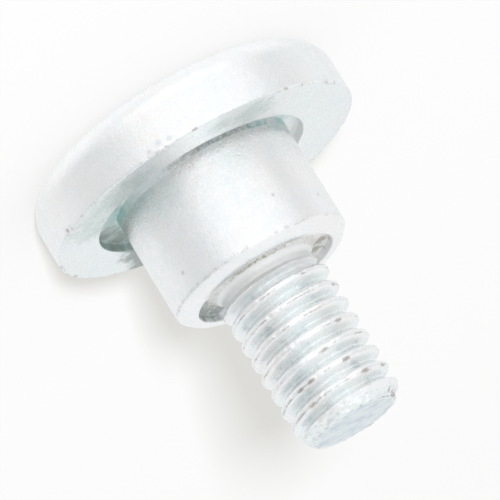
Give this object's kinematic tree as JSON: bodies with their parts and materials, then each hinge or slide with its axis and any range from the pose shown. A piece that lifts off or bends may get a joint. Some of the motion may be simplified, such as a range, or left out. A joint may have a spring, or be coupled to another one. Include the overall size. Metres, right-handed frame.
{
  "type": "shoulder screw",
  "caption": "One-piece shoulder screw: thick disc head with a hexagon socket, plain cylindrical shoulder with face grooves, and a metric thread that runs out into a short neck.",
  "frame": {"origin": "centre of the head's top face, on which the screw stands", "axes": "+Z along the screw's axis from the head to the thread's tip; the drive socket opens towards -Z"},
  "size_m": [0.0175, 0.0174, 0.0185],
  "materials": {
    "zinc_plated_steel": "blue-white zinc plating, satin"
  },
  "bodies": {
    "root": {"screw": "zinc_plated_steel"}
  },
  "joints": []
}
